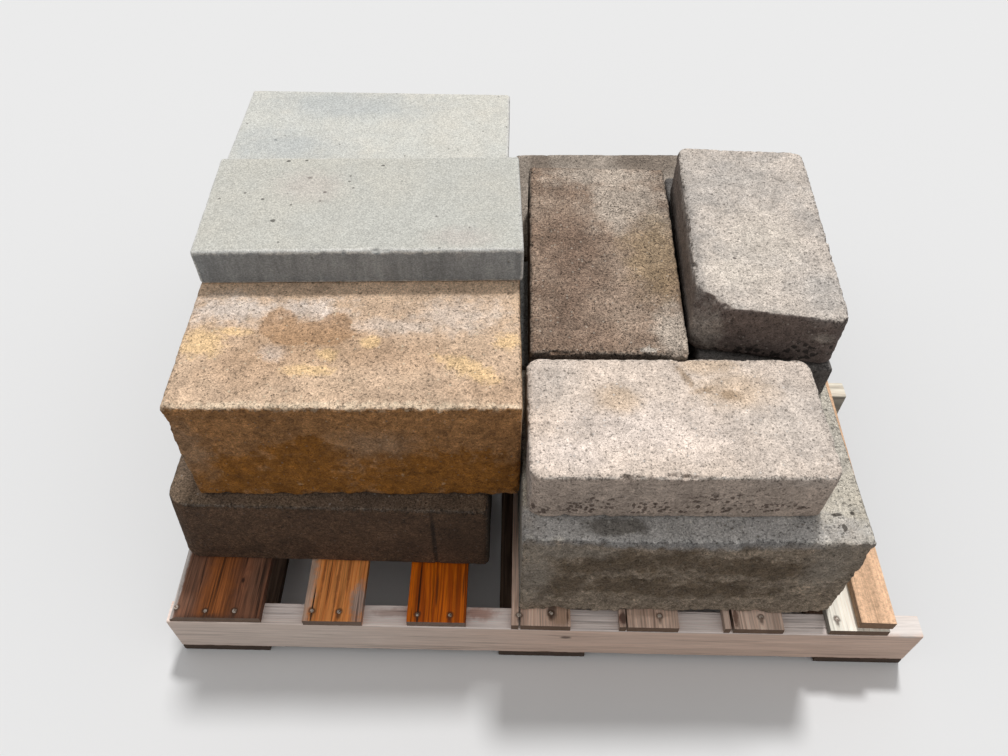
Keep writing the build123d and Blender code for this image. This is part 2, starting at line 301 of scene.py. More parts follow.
class Finish:
    """One procedural material, built up from shader nodes that read Object coordinates."""

    def __init__(self, name, roughness=0.9, specular=0.3):
        self.material = bpy.data.materials.new(name)
        self.material.use_nodes = True
        self.tree = self.material.node_tree
        self.tree.nodes.clear()
        self.shader = self.node("BsdfPrincipled", {"Roughness": roughness, "Specular IOR Level": specular})
        self.node("OutputMaterial", {"Surface": self.shader.outputs["BSDF"]})
        self.place = self.node("TexCoord").outputs["Object"]
        self.normal = None

    def node(self, kind, sockets=None, **settings):
        return add_node(self.tree, "ShaderNode" + kind, sockets, **settings)

    def mapped(self, stretch=(1, 1, 1), shift=(0, 0, 0), turn=(0, 0, 0), place=None):
        """Object coordinates, or another place, stretched, shifted and turned."""
        sockets = {"Vector": place or self.place, "Location": shift, "Rotation": turn, "Scale": stretch}
        return self.node("Mapping", sockets).outputs["Vector"]

    def noise(self, feature, detail=3.0, rough=0.55, shift=0.0, stretch=(1, 1, 1)):
        """Noise about as wide as the feature, in millimetres, from 0 to 1."""
        place = self.place
        if stretch != (1, 1, 1) or shift:
            place = self.mapped(stretch, shift=(shift, shift * 0.7, shift * 1.3))
        sockets = {"Vector": place, "Scale": 1000.0 / feature, "Detail": detail, "Roughness": rough}
        return self.node("TexNoise", sockets, noise_dimensions="3D").outputs["Fac"]

    def grains(self, size, shift=0.0):
        """Grains of a size in millimetres: the distance to the nearest middle, and two random numbers."""
        place = self.mapped(shift=(shift, shift, shift)) if shift else self.place
        made = self.node("TexVoronoi", {"Vector": place, "Scale": 1000.0 / size}, feature="F1")
        own = self.node("SeparateColor", {0: made.outputs["Color"]})
        return made.outputs["Distance"], own.outputs[0], own.outputs[1]

    def math(self, operation, first, second=0.0, third=0.0):
        return self.node("Math", {0: first, 1: second, 2: third}, operation=operation).outputs[0]

    def ease(self, value, start, end, low=0.0, high=1.0, kind="SMOOTHSTEP"):
        """A value carried smoothly from low at start to high at end."""
        sockets = {"Value": value, "From Min": start, "From Max": end, "To Min": low, "To Max": high}
        return self.node("MapRange", sockets, interpolation_type=kind).outputs["Result"]

    def mix(self, share, first, second):
        made = self.node("Mix", data_type="RGBA", clamp_factor=True)
        for socket, value in ((0, share), (6, first), (7, second)):
            feed(made.inputs[socket], value)
        return made.outputs[2]

    def shade(self, colour, value, low, high, start=0.25, end=0.75):
        """The colour times a brightness that runs from low to high with the value."""
        brightness = self.ease(value, start, end, low, high, kind="LINEAR")
        made = self.node("VectorMath", {0: colour, "Scale": brightness}, operation="SCALE")
        return made.outputs["Vector"]

    def multiplied(self, vector, other):
        return self.node("VectorMath", {0: vector, 1: other}, operation="MULTIPLY").outputs["Vector"]

    def patch(self, centre, size, soft, ragged, feature, turn=0.0):
        """A patch with a ragged rim: 1 inside, 0 outside. Centre and half sizes are in metres."""
        away = self.node("VectorMath", {0: self.place, 1: centre}, operation="SUBTRACT").outputs["Vector"]
        if turn:
            away = self.mapped(turn=(0, 0, math.radians(turn)), place=away)
        shares = self.multiplied(away, tuple(1 / half for half in size))
        length = self.node("VectorMath", {0: shares}, operation="LENGTH").outputs["Value"]
        wander = self.noise(feature, detail=5, rough=0.65, shift=1.0 + centre[0] * 3.1)
        spread = self.math("MULTIPLY_ADD", wander, -2 * ragged, ragged)
        return self.ease(self.math("ADD", length, spread), 1 + soft, 1 - soft)

    def patches(self, spots, soft, ragged, feature):
        """1 inside any of the spots, 0 outside them all."""
        mask = None
        for centre, size, *turn in spots:
            patch = self.patch(centre, size, soft, ragged, feature, *turn)
            mask = self.math("MAXIMUM", mask, patch) if mask else patch
        return mask

    def stained(self, colour, stains):
        """The colour with stains laid over it in turn."""
        for one in stains:
            mask = self.patches(one["spots"], one["soft"], one["ragged"], one["feature"])
            share = self.math("MULTIPLY", mask, one["share"])
            colour = self.mix(share, colour, one["colour"])
        return colour

    def spattered(self, colour, drops):
        """Small dark drops on the colour, gathered inside the spots of a table."""
        distance, chosen, _ = self.grains(drops["size"], shift=7.7)
        uneven = self.noise(drops["size"] * 0.6, detail=3, rough=0.6, shift=8.5)
        round_edge = self.math("ADD", distance, self.math("MULTIPLY", uneven, 1.1))
        dots = self.ease(round_edge, 1.12, 0.98)
        kept = self.math("MULTIPLY", dots, self.math("LESS_THAN", chosen, drops["share"]))
        region = self.patches(drops["spots"], soft=0.25, ragged=1.2, feature=16)
        mask = self.math("MULTIPLY", self.math("MULTIPLY", kept, region), 0.9)
        return self.mix(mask, colour, drops["colour"])

    def facing(self, axis):
        """1 on faces that look along the axis, which may have a minus, and 0 on the others."""
        normal = self.node("NewGeometry").outputs["Normal"]
        part = self.node("SeparateXYZ", {0: normal}).outputs[axis[-1]]
        if axis[0] == "-":
            part = self.math("MULTIPLY", part, -1.0)
        return self.ease(part, 0.45, 0.75)

    def attribute(self, name):
        return self.node("Attribute", attribute_type="GEOMETRY", attribute_name=name).outputs["Fac"]

    def bump(self, height, distance, strength):
        """Adds relief of the given depth in millimetres."""
        sockets = {"Strength": strength, "Distance": distance * MM, "Height": height}
        if self.normal:
            sockets["Normal"] = self.normal
        self.normal = self.node("Bump", sockets).outputs["Normal"]

    def done(self, colour):
        feed(self.shader.inputs["Base Color"], colour)
        if self.normal:
            feed(self.shader.inputs["Normal"], self.normal)
        return self.material


def scaled(colour, share):
    """A colour made darker or lighter."""
    return tuple(part * share for part in colour)


# Stains

def stain(colour, share, soft, ragged, feature, spots):
    """A stain: its share of the colour, its rim's softness, raggedness and waves in mm, and its spots."""
    return dict(colour=colour, share=share, soft=soft, ragged=ragged, feature=feature, spots=spots)


def on_top(height, spots, thick=0.02):
    """Spots on a level face: each is x, y and its half sizes in metres, and perhaps a turn in degrees."""
    return [((x, y, height), (half_x, half_y, thick), *turn) for x, y, half_x, half_y, *turn in spots]


def on_front(depth, spots, thick=0.03):
    """Spots on a face that looks forward: each is x, z and its half sizes in metres."""
    return [((x, depth, z), (half_x, thick, half_z)) for x, z, half_x, half_z in spots]


def pock(x, y, z, half):
    """A small dark mark: its place in metres and its half size in millimetres."""
    return (x, y, z), (half * MM, half * MM * 0.8, 4 * MM)


def top_pocks(height, marks):
    """Pocks on a level face: each is x, y and its half size."""
    return [pock(x, y, height, half) for x, y, half in marks]


def front_pocks(depth, marks):
    """Pocks on a face that looks forward: each is x, z and its half size."""
    return [pock(x, depth, z, half) for x, z, half in marks]


# Concrete

def cast_colour(finish, main, second, cloud, wall_shade, front, streaks, broken):
    """The clouded colour, with the side walls darkened as painted shade, and the front in a colour of its own
    that is partly painted shade, where they are given.
    """
    clouds = finish.ease(finish.noise(cloud, detail=7, rough=0.62), 0.36, 0.64)
    colour = finish.mix(clouds, main, second)
    # Painted shade: faces that don't look up take the darker wall colour
    if wall_shade:
        colour = finish.mix(finish.facing("Z"), wall_shade, colour)
    if not front:
        return colour
    # The front face's own colour, darker than the top: part its real tone and part painted shade
    forward = finish.facing("-Y")
    blotch = finish.ease(finish.noise(60, detail=6, rough=0.7, shift=7.0), 0.35, 0.65)
    face = finish.mix(blotch, front[0], front[1])
    if streaks:
        runs = finish.noise(9, detail=3, rough=0.6, stretch=(1, 1, 0.10), shift=11.0)
        face = finish.shade(face, runs, 1 - streaks, 1 + streaks, 0.35, 0.65)
    colour = finish.mix(forward, colour, face)
    if broken:
        # Painted shade: the crumbled front is darker in its low places and lighter on its high ones
        crumbs = finish.noise(7, detail=7, rough=0.85, shift=12.0)
        contrast = 0.06 * broken
        crumb_shade = finish.ease(crumbs, 0.36, 0.60, 1 - contrast, 1 + contrast)
        colour = finish.multiplied(colour, finish.mix(forward, (1, 1, 1), crumb_shade))
        finish.bump(finish.math("MULTIPLY", crumbs, forward), broken, 1.0)
    return colour


def worn_arrises(finish, colour, edge):
    """The colour of fresh concrete where the edges have lost their skin."""
    flaked = finish.noise(7, detail=4, rough=0.7, shift=9.0)
    worn = finish.math("MULTIPLY", finish.attribute("worn_edge"), flaked)
    return finish.mix(finish.ease(worn, 0.18, 0.50, 0.0, 0.85), colour, edge)


def pale_stones(finish, colour, stones, share):
    """Pale stones, which show where the cement skin is worn; on faces that don't look up they are fainter, as
    painted shade.
    """
    distance, chosen, tint = finish.grains(5.2, shift=4.4)
    kept = finish.math("LESS_THAN", chosen, share)
    there = finish.math("MULTIPLY", finish.ease(distance, 0.40, 0.22), kept)
    bared_and_lit = finish.math("MULTIPLY", there, finish.math("MULTIPLY_ADD", finish.facing("Z"), 0.45, 0.2))
    return finish.mix(bared_and_lit, colour, finish.mix(tint, stones, scaled(stones, 0.62)))


def concrete(node, main, second, cloud=110, grain=0.30, stones=(0.80, 0.76, 0.70), stone_share=0.06,
             pits=0.10, edge=None, front=None, wall_shade=None, stains=(), broken=0.0, streaks=0.0, mottle=0.20,
             drops=None, holes=0.55, lumpy=1.6):
    """Cast concrete: clouded colour, sand grains, pale stones, pits, worn edges and stains.

    wall_shade is the darker colour that the side faces take on as painted shade, and front the colour of the
    front face, part its real tone and part painted shade, where they differ. Broken is the depth in
    millimetres of a split front's crumbled relief, which also sets how much painted shade darkens its low
    places, and lumpy that of the relief everywhere.
    Streaks is how far runs mark the front, and holes how dark the pinholes are."""
    finish = Finish(f"{node}_concrete")
    colour = cast_colour(finish, main, second, cloud, wall_shade, front, streaks, broken)
    colour = finish.stained(colour, stains)
    if drops:
        colour = finish.spattered(colour, drops)
    if edge:
        colour = worn_arrises(finish, colour, edge)
    mottling = finish.noise(38, detail=6, rough=0.75, shift=3.0)
    colour = finish.shade(colour, mottling, 1 - mottle, 1 + mottle, 0.34, 0.66)
    # Painted shade: darker where the surface is sunken, lighter on its high places
    colour = finish.shade(colour, finish.attribute("hollow"), 1.12, 0.78, -0.35, 0.55)

    # Sand: each grain has its own brightness, and dark pinholes are left between the grains
    _, own, _ = finish.grains(1.6)
    colour = finish.shade(colour, own, 1 - grain, 1 + grain, 0.0, 1.0)
    sand = finish.noise(2.6, detail=3, rough=0.8, shift=1.0)
    colour = finish.shade(colour, sand, 1 - 0.8 * grain, 1 + 0.8 * grain, 0.32, 0.68)
    porous = finish.noise(4.0, detail=4, rough=0.8, shift=13.0)
    porous = finish.math("MULTIPLY_ADD", finish.attribute("worn_edge"), -0.07, porous)
    pinholes = finish.ease(porous, 0.43, 0.35)
    colour = finish.shade(colour, pinholes, 1.0, 1 - holes, 0.0, 1.0)
    colour = pale_stones(finish, colour, stones, stone_share)

    # Pits: small dark hollows of uneven outline
    depth, picked, _ = finish.grains(8.0, shift=2.2)
    ragged = finish.math("ADD", depth, finish.math("MULTIPLY", finish.noise(2.5, detail=2, shift=6.0), 0.35))
    pit = finish.math("MULTIPLY", finish.ease(ragged, 0.46, 0.30), finish.math("LESS_THAN", picked, pits))
    colour = finish.mix(finish.math("MULTIPLY", pit, 0.7), colour, scaled(main, 0.3))

    finish.bump(sand, 1.2, 0.7)
    finish.bump(own, 0.3, 0.6)
    finish.bump(finish.math("SUBTRACT", 1.0, pinholes), 2.2 * holes, 0.8)
    finish.bump(finish.noise(12, detail=4, rough=0.65, shift=5.0), lumpy, 0.55)
    finish.bump(finish.math("SUBTRACT", 1.0, pit), 1.4, 0.8)
    return finish.done(colour)


def charcoal_block_finish(node):
    """Dark brown concrete, with a darker patch, and painted shade along the groove down its split front."""
    front = -0.383
    stains = [
        stain((0.08, 0.047, 0.028), share=0.45, soft=0.8, ragged=0.6, feature=40, spots=on_front(front, [
            (-0.11, 0.19, 0.06, 0.09)])),
        # Painted shade along the groove down the front
        stain((0.03, 0.021, 0.015), share=0.8, soft=0.5, ragged=0.5, feature=14, spots=on_front(front, [
            (-0.1675, 0.19, 0.0035, 0.084)], thick=0.01)),
    ]
    return concrete(
        node, (0.205, 0.145, 0.098), (0.14, 0.1, 0.072), grain=0.44,
        stones=(0.42, 0.38, 0.34), stone_share=0.07, edge=(0.2, 0.17, 0.14), wall_shade=(0.085, 0.07, 0.06),
        front=((0.158, 0.091, 0.053), (0.103, 0.059, 0.035)), broken=5.5, stains=stains)


def tan_block_finish(node):
    """Tan concrete: pale, brown and yellow patches on top, a pale lip, and ochre stains in front."""
    top = top_of(node)
    front = -0.357
    stains = [
        stain((0.62, 0.415, 0.27), share=0.55, soft=0.6, ragged=1.4, feature=40, spots=on_top(top, [
            (-0.4, -0.295, 0.06, 0.035), (-0.205, -0.265, 0.08, 0.025),
            (-0.08, -0.32, 0.05, 0.02)])),
        stain((0.88, 0.8, 0.74), share=0.62, soft=0.8, ragged=1.8, feature=22, spots=on_top(top, [
            (-0.445, -0.19, 0.05, 0.024), (-0.337, -0.186, 0.045, 0.02),
            (-0.374, -0.266, 0.018, 0.011)])),
        stain((0.84, 0.74, 0.66), share=0.48, soft=0.8, ragged=1.8, feature=22, spots=on_top(top, [
            (-0.125, -0.19, 0.055, 0.026), (-0.215, -0.214, 0.08, 0.012)])),
        stain((0.55, 0.345, 0.2), share=0.65, soft=0.9, ragged=0.8, feature=30, spots=on_top(top, [
            (-0.335, -0.245, 0.085, 0.04)])),
        stain((0.48, 0.285, 0.155), share=0.72, soft=0.12, ragged=0.6, feature=30, spots=on_top(top, [
            (-0.333, -0.23, 0.066, 0.022), (-0.376, -0.212, 0.024, 0.028),
            (-0.3, -0.216, 0.026, 0.026)])),
        stain((0.96, 0.66, 0.34), share=0.7, soft=0.5, ragged=1.1, feature=14, spots=on_top(top, [
            (-0.471, -0.25, 0.028, 0.024), (-0.437, -0.229, 0.022, 0.008), (-0.301, -0.268, 0.013, 0.011),
            (-0.322, -0.295, 0.03, 0.01), (-0.247, -0.243, 0.014, 0.01),
            (-0.112, -0.288, 0.04, 0.015, 25), (-0.063, -0.238, 0.018, 0.014)])),
        stain((0.95, 0.76, 0.55), share=0.7, soft=0.6, ragged=1.8, feature=10, spots=[
            ((-0.283, -0.353, 0.48), (0.25, 0.006, 0.007), -1.2)]),
        stain((0.365, 0.138, 0.014), share=0.85, soft=0.22, ragged=1.5, feature=44, spots=on_front(front, [
            (-0.4, 0.32, 0.15, 0.05), (-0.33, 0.38, 0.06, 0.035), (-0.14, 0.325, 0.14, 0.055)])),
        stain((0.47, 0.3, 0.18), share=0.6, soft=0.7, ragged=1.2, feature=30, spots=on_front(front, [
            (-0.241, 0.4, 0.045, 0.028), (-0.49, 0.38, 0.03, 0.06)])),
        stain((0.72, 0.5, 0.3), share=0.6, soft=0.5, ragged=1.0, feature=6, spots=front_pocks(front, [
            (-0.352, 0.305, 4.0), (-0.3, 0.32, 2.5), (-0.205, 0.33, 2.5), (-0.15, 0.305, 3.0),
            (-0.24, 0.365, 3.0), (-0.43, 0.295, 2.0)])),
    ]
    return concrete(
        node, (0.78, 0.56, 0.385), (0.67, 0.48, 0.335), cloud=90, grain=0.28, holes=0.48,
        stones=(0.86, 0.72, 0.52), stone_share=0.08, wall_shade=(0.4, 0.26, 0.15),
        front=((0.475, 0.234, 0.089), (0.405, 0.194, 0.071)), broken=4.0, stains=stains)


# The smooth concrete of both grey slabs
SMOOTH = dict(cloud=160, grain=0.20, mottle=0.04, holes=0.04, lumpy=0.3, stone_share=0.0, pits=0.02)


def grey_slab_upper_finish(node):
    """Smooth pale grey concrete, pocked on top, with a streaked front darkened partly as painted shade, and a
    pale lip.
    """
    top = top_of(node)
    stains = [
        stain((0.13, 0.125, 0.11), share=0.9, soft=0.3, ragged=0.9, feature=5, spots=top_pocks(top, [
            (-0.404, 0.074, 3.2), (-0.377, 0.076, 2.6), (-0.3645, 0.033, 3.6), (-0.3366, -0.001, 3.0),
            (-0.4008, -0.068, 3.8), (-0.2582, 0.067, 2.6), (-0.3041, 0.026, 2.0), (-0.2963, 0.01, 1.8),
            (-0.3406, -0.022, 2.0), (-0.3815, -0.032, 1.8), (-0.4538, -0.006, 2.0), (-0.4251, -0.02, 2.6),
            (-0.3911, -0.006, 1.5), (-0.2258, 0.029, 1.5)])),
        stain((0.62, 0.54, 0.49), share=0.4, soft=0.7, ragged=0.8, feature=30, spots=on_top(top, [
            (-0.361, 0.012, 0.045, 0.03), (-0.132, -0.098, 0.04, 0.02)])),
        stain((0.88, 0.86, 0.8), share=0.7, soft=0.6, ragged=1.8, feature=9, spots=[
            ((-0.268, -0.1295, 0.54), (0.26, 0.005, 0.006), -2.2)]),
    ]
    return concrete(
        node, (0.64, 0.62, 0.552), (0.61, 0.604, 0.552), edge=(0.76, 0.75, 0.71),
        wall_shade=(0.36, 0.37, 0.36), front=((0.285, 0.3, 0.305), (0.252, 0.264, 0.27)), streaks=0.14,
        stains=stains, **SMOOTH)


def grey_slab_rear_finish(node):
    """Smooth pale grey concrete with two pocks and two bluish patches."""
    top = top_of(node)
    stains = [
        stain((0.13, 0.125, 0.11), share=0.9, soft=0.3, ragged=0.9, feature=5, spots=top_pocks(top, [
            (-0.4617, 0.2077, 3.0), (-0.3, 0.33, 1.8)])),
        stain((0.52, 0.55, 0.555), share=0.6, soft=0.7, ragged=0.8, feature=50, spots=on_top(top, [
            (-0.44, 0.19, 0.09, 0.05), (-0.35, 0.32, 0.14, 0.04)])),
    ]
    return concrete(
        node, (0.75, 0.72, 0.64), (0.705, 0.7, 0.645), edge=(0.76, 0.75, 0.72),
        wall_shade=(0.44, 0.45, 0.44), stains=stains, **SMOOTH)


def split_face_block_finish(node):
    """Beige concrete with a grey lip, a dark patch on it, and brown stains on its split front."""
    top = top_of(node)
    front = -0.45
    stains = [
        stain((0.5, 0.485, 0.475), share=0.85, soft=0.3, ragged=0.5, feature=40, spots=on_top(top, [
            (0.16, -0.43, 0.27, 0.034)])),
        stain((0.155, 0.14, 0.12), share=0.8, soft=0.3, ragged=0.9, feature=25, spots=on_top(top, [
            (0.085, -0.43, 0.045, 0.014)])),
        stain((0.15, 0.1, 0.055), share=0.7, soft=0.5, ragged=2.2, feature=28, spots=on_front(front, [
            (0.09, 0.27, 0.085, 0.032), (0.018, 0.206, 0.035, 0.04), (0.17, 0.281, 0.05, 0.024),
            (0.33, 0.25, 0.06, 0.028), (0.264, 0.262, 0.07, 0.026), (0.13, 0.2, 0.09, 0.028),
            (0.24, 0.19, 0.07, 0.022)], thick=0.05)),
        stain((0.5, 0.43, 0.355), share=0.65, soft=0.6, ragged=0.9, feature=30, spots=on_front(front, [
            (-0.02, 0.24, 0.022, 0.08), (0.385, 0.27, 0.034, 0.06),
            (0.02, 0.3, 0.06, 0.016)], thick=0.05)),
        stain((0.06, 0.05, 0.04), share=0.85, soft=0.3, ragged=1.0, feature=8, spots=on_top(top, [
            (0.385, -0.406, 0.008, 0.003), (0.4075, -0.404, 0.003, 0.003),
            (0.392, -0.426, 0.003, 0.006)], thick=0.01)),
    ]
    return concrete(
        node, (0.68, 0.615, 0.505), (0.59, 0.545, 0.47), grain=0.28,
        stones=(0.74, 0.7, 0.62), stone_share=0.07, wall_shade=(0.26, 0.245, 0.215),
        front=((0.47, 0.372, 0.278), (0.385, 0.303, 0.225)), pits=0.2, broken=6.5, stains=stains)


def tumbled_block_front_finish(node):
    """Pale beige concrete with brown stains on top and dark drops low on its front."""
    top = top_of(node)
    front = -0.419
    stains = [
        stain((0.62, 0.565, 0.515), share=0.45, soft=0.8, ragged=0.8, feature=50, spots=on_top(top, [
            (0.335, -0.33, 0.075, 0.09), (-0.01, -0.26, 0.04, 0.05)])),
        stain((0.98, 0.85, 0.77), share=0.45, soft=0.8, ragged=0.8, feature=40, spots=on_top(top, [
            (0.12, -0.345, 0.09, 0.04), (0.02, -0.38, 0.06, 0.025)])),
        stain((0.72, 0.54, 0.38), share=0.7, soft=0.6, ragged=0.7, feature=30, spots=on_top(top, [
            (0.25, -0.272, 0.045, 0.03), (0.215, -0.228, 0.04, 0.016), (0.085, -0.292, 0.03, 0.022)])),
        stain((0.38, 0.26, 0.16), share=0.7, soft=0.8, ragged=1.6, feature=12, spots=on_top(top, [
            (0.24, -0.28, 0.014, 0.008, 20), (0.183, -0.248, 0.005, 0.022, -25),
            (0.205, -0.272, 0.014, 0.005, -20)], thick=0.01)),
    ]
    drops = dict(colour=(0.135, 0.098, 0.08), size=7.0, share=0.6, spots=on_front(front, [
        (0.212, 0.366, 0.046, 0.02), (0.045, 0.356, 0.04, 0.015), (0.127, 0.358, 0.035, 0.012),
        (0.3, 0.356, 0.04, 0.01), (-0.02, 0.348, 0.026, 0.01), (0.066, 0.378, 0.02, 0.008),
        (0.16, 0.346, 0.15, 0.006)]))
    return concrete(
        node, (0.86, 0.715, 0.6), (0.72, 0.608, 0.52), cloud=70, grain=0.24,
        holes=0.5, stones=(0.88, 0.82, 0.76), stone_share=0.07, edge=(0.78, 0.7, 0.62),
        wall_shade=(0.44, 0.385, 0.34), front=((0.52, 0.42, 0.35), (0.44, 0.352, 0.292)), streaks=0.05,
        stains=stains, drops=drops)


def dark_brown_block_finish(node):
    """Dark brown concrete with pale, dark and olive patches on top."""
    top = top_of(node)
    stains = [
        stain((0.56, 0.48, 0.4), share=0.75, soft=0.6, ragged=1.3, feature=45, spots=on_top(top, [
            (0.13, 0.13, 0.065, 0.07), (0.11, 0.205, 0.09, 0.028), (0.18, -0.165, 0.025, 0.045)])),
        stain((0.215, 0.14, 0.1), share=0.6, soft=0.7, ragged=0.9, feature=40, spots=on_top(top, [
            (0.04, -0.04, 0.045, 0.15)])),
        stain((0.37, 0.265, 0.15), share=0.6, soft=0.6, ragged=0.9, feature=40, spots=on_top(top, [
            (0.168, 0.0, 0.045, 0.09)])),
        stain((0.7, 0.64, 0.56), share=0.7, soft=0.4, ragged=1.2, feature=7, spots=on_top(top, [
            (0.139, -0.2, 0.012, 0.005)])),
    ]
    return concrete(
        node, (0.295, 0.204, 0.147), (0.392, 0.293, 0.222), cloud=80, grain=0.48,
        holes=0.85, mottle=0.28, stones=(0.6, 0.52, 0.43), stone_share=0.12, pits=0.25,
        edge=(0.34, 0.29, 0.24), wall_shade=(0.1, 0.078, 0.062), stains=stains)


def dark_slab_finish(node):
    """Dark grey concrete."""
    return concrete(
        node, (0.22, 0.205, 0.19), (0.17, 0.155, 0.145), grain=0.32,
        stones=(0.5, 0.48, 0.44), wall_shade=(0.13, 0.115, 0.105))


def tumbled_block_rear_finish(node):
    """Beige concrete with pale and grey patches on top, and a front darkened partly as painted shade, with
    black drops.
    """
    top = top_of(node)
    front = -0.19
    stains = [
        stain((0.74, 0.66, 0.57), share=0.6, soft=0.7, ragged=0.9, feature=35, spots=on_top(top, [
            (0.312, -0.03, 0.05, 0.06), (0.27, -0.1, 0.04, 0.035)])),
        stain((0.5, 0.465, 0.43), share=0.45, soft=0.8, ragged=0.9, feature=50, spots=on_top(top, [
            (0.3, 0.12, 0.08, 0.05), (0.38, -0.13, 0.03, 0.06)])),
        stain((0.34, 0.31, 0.285), share=0.6, soft=0.5, ragged=1.2, feature=18, spots=on_top(top, [
            (0.208, -0.06, 0.012, 0.09), (0.212, 0.06, 0.01, 0.08)])),
        stain((0.34, 0.3, 0.26), share=0.6, soft=0.6, ragged=1.2, feature=14, spots=[
            ((0.222, -0.17, 0.43), (0.022, 0.05, 0.03)),
            ((0.38, -0.205, 0.448), (0.014, 0.05, 0.008))]),
        stain((0.12, 0.1, 0.09), share=0.9, soft=0.3, ragged=0.8, feature=5, spots=top_pocks(top, [
            (0.2676, -0.0696, 3.0), (0.29, -0.15, 1.8)])),
    ]
    drops = dict(colour=(0.026, 0.02, 0.017), size=9.0, share=0.8, spots=on_front(front, [
        (0.33, 0.406, 0.05, 0.014), (0.372, 0.418, 0.032, 0.026),
        (0.27, 0.402, 0.04, 0.01)], thick=0.06))
    return concrete(
        node, (0.71, 0.62, 0.54), (0.56, 0.505, 0.455), cloud=75, grain=0.29,
        stones=(0.84, 0.78, 0.7), stone_share=0.08, edge=(0.62, 0.55, 0.48), wall_shade=(0.2, 0.165, 0.145),
        front=((0.155, 0.118, 0.102), (0.128, 0.098, 0.086)), stains=stains, drops=drops)


def brown_base_block_finish(node):
    """Brown concrete with two dark patches on top."""
    top = top_of(node)
    stains = [
        stain((0.2, 0.155, 0.12), share=0.7, soft=0.5, ragged=1.0, feature=40, spots=on_top(top, [
            (0.2, 0.395, 0.06, 0.04), (-0.005, 0.38, 0.02, 0.04)])),
    ]
    return concrete(
        node, (0.42, 0.355, 0.295), (0.33, 0.275, 0.225), cloud=80, grain=0.36,
        stones=(0.56, 0.48, 0.4), stone_share=0.08, edge=(0.48, 0.42, 0.36), wall_shade=(0.22, 0.17, 0.13),
        stains=stains)


# Blocks that the photograph doesn't show, in the colours of their neighbours
HIDDEN_BLOCKS = {
    "left_middle_lower_block": dict(main=(0.105, 0.090, 0.078), second=(0.085, 0.074, 0.066), grain=0.32),
    "left_middle_upper_block": dict(
        main=(0.50, 0.36, 0.24), second=(0.42, 0.29, 0.18), grain=0.30, stones=(0.78, 0.66, 0.48),
        wall_shade=(0.36, 0.24, 0.15)),
    "left_rear_base_block": dict(
        main=(0.34, 0.33, 0.31), second=(0.28, 0.27, 0.25), grain=0.30, stones=(0.62, 0.60, 0.54),
        wall_shade=(0.24, 0.225, 0.20), pits=0.2),
    "left_rear_half_block": dict(
        main=(0.56, 0.49, 0.43), second=(0.48, 0.42, 0.37), grain=0.28, wall_shade=(0.42, 0.37, 0.32)),
    "right_middle_block": dict(
        main=(0.31, 0.31, 0.30), second=(0.26, 0.26, 0.25), grain=0.28, wall_shade=(0.22, 0.21, 0.20)),
}
SEEN_BLOCKS = {
    "charcoal_block": charcoal_block_finish,
    "tan_block": tan_block_finish,
    "grey_slab_upper": grey_slab_upper_finish,
    "grey_slab_rear": grey_slab_rear_finish,
    "split_face_block": split_face_block_finish,
    "tumbled_block_front": tumbled_block_front_finish,
    "dark_brown_block": dark_brown_block_finish,
    "dark_slab": dark_slab_finish,
    "tumbled_block_rear": tumbled_block_rear_finish,
    "brown_base_block": brown_base_block_finish,
}


def block_finish(node):
    if node in SEEN_BLOCKS:
        return SEEN_BLOCKS[node](node)
    return concrete(node, **HIDDEN_BLOCKS[node])


# Wood

DECK_TOP = top_of("deck_board_1")
STRINGER_TOP = top_of("stringer_front")
RUST = (0.07, 0.035, 0.02)
FRONT_NAILS = [
    (-0.555, -0.463), (-0.510, -0.468), (-0.466, -0.467), (-0.350, -0.4645), (-0.309, -0.465),
    (-0.191, -0.467), (-0.142, -0.467), (0.0097, -0.4605), (-0.0384, -0.4647), (0.173, -0.462),
    (0.3254, -0.4603), (0.439, -0.461), (0.500, -0.463),
]


def nails_on(low, high):
    """The front nails whose places lie between two places along X."""
    return [(x, y) for x, y in FRONT_NAILS if low < x < high]


def crack(x, y_front, y_back, half=0.9):
    """A split along a deck board, as a stain's spot; its half width is in millimetres."""
    return (x, (y_front + y_back) / 2, DECK_TOP), (half * MM, (y_back - y_front) / 2, 0.012)


def splits(cracks, share=0.95, colour=(0.015, 0.009, 0.006)):
    """The stain that dark splits make."""
    return stain(colour, share=share, soft=0.35, ragged=0.35, feature=40, spots=cracks)


def bent_rings(finish, knots, across, along, spacing, wander):
    """Growth rings that bend round the knots, and the knots' own share, or None without knots."""
    ring = finish.math("MULTIPLY_ADD", across, 1000 / spacing, finish.math("MULTIPLY", wander, 8.0))
    knot_share = None
    for centre, half in knots:
        stretch = (half, half * 1.8, half * 1.8) if along == "Y" else (half * 1.8, half, half)
        near = finish.patch(centre, tuple(3.2 * part for part in stretch), soft=0.9, ragged=0.2, feature=30)
        ring = finish.math("MULTIPLY_ADD", near, 1.3, ring)
        core = finish.patch(centre, stretch, soft=0.45, ragged=0.5, feature=8)
        knot_share = finish.math("MAXIMUM", knot_share, core) if knot_share else core
    return ring, knot_share


def rust_marks(finish, colour, nails):
    """A rusty halo round each nail, and a tail that runs forward from it."""
    for x, y in nails:
        tail = finish.patch((x, y - 0.004, DECK_TOP), (0.0030, 0.007, 0.01), soft=0.6, ragged=0.6, feature=6)
        halo = finish.patch((x, y, DECK_TOP), (0.0056, 0.0056, 0.01), soft=0.3, ragged=0.5, feature=6)
        colour = finish.mix(finish.math("MULTIPLY", finish.math("MAXIMUM", tail, halo), 0.75), colour, RUST)
    return colour


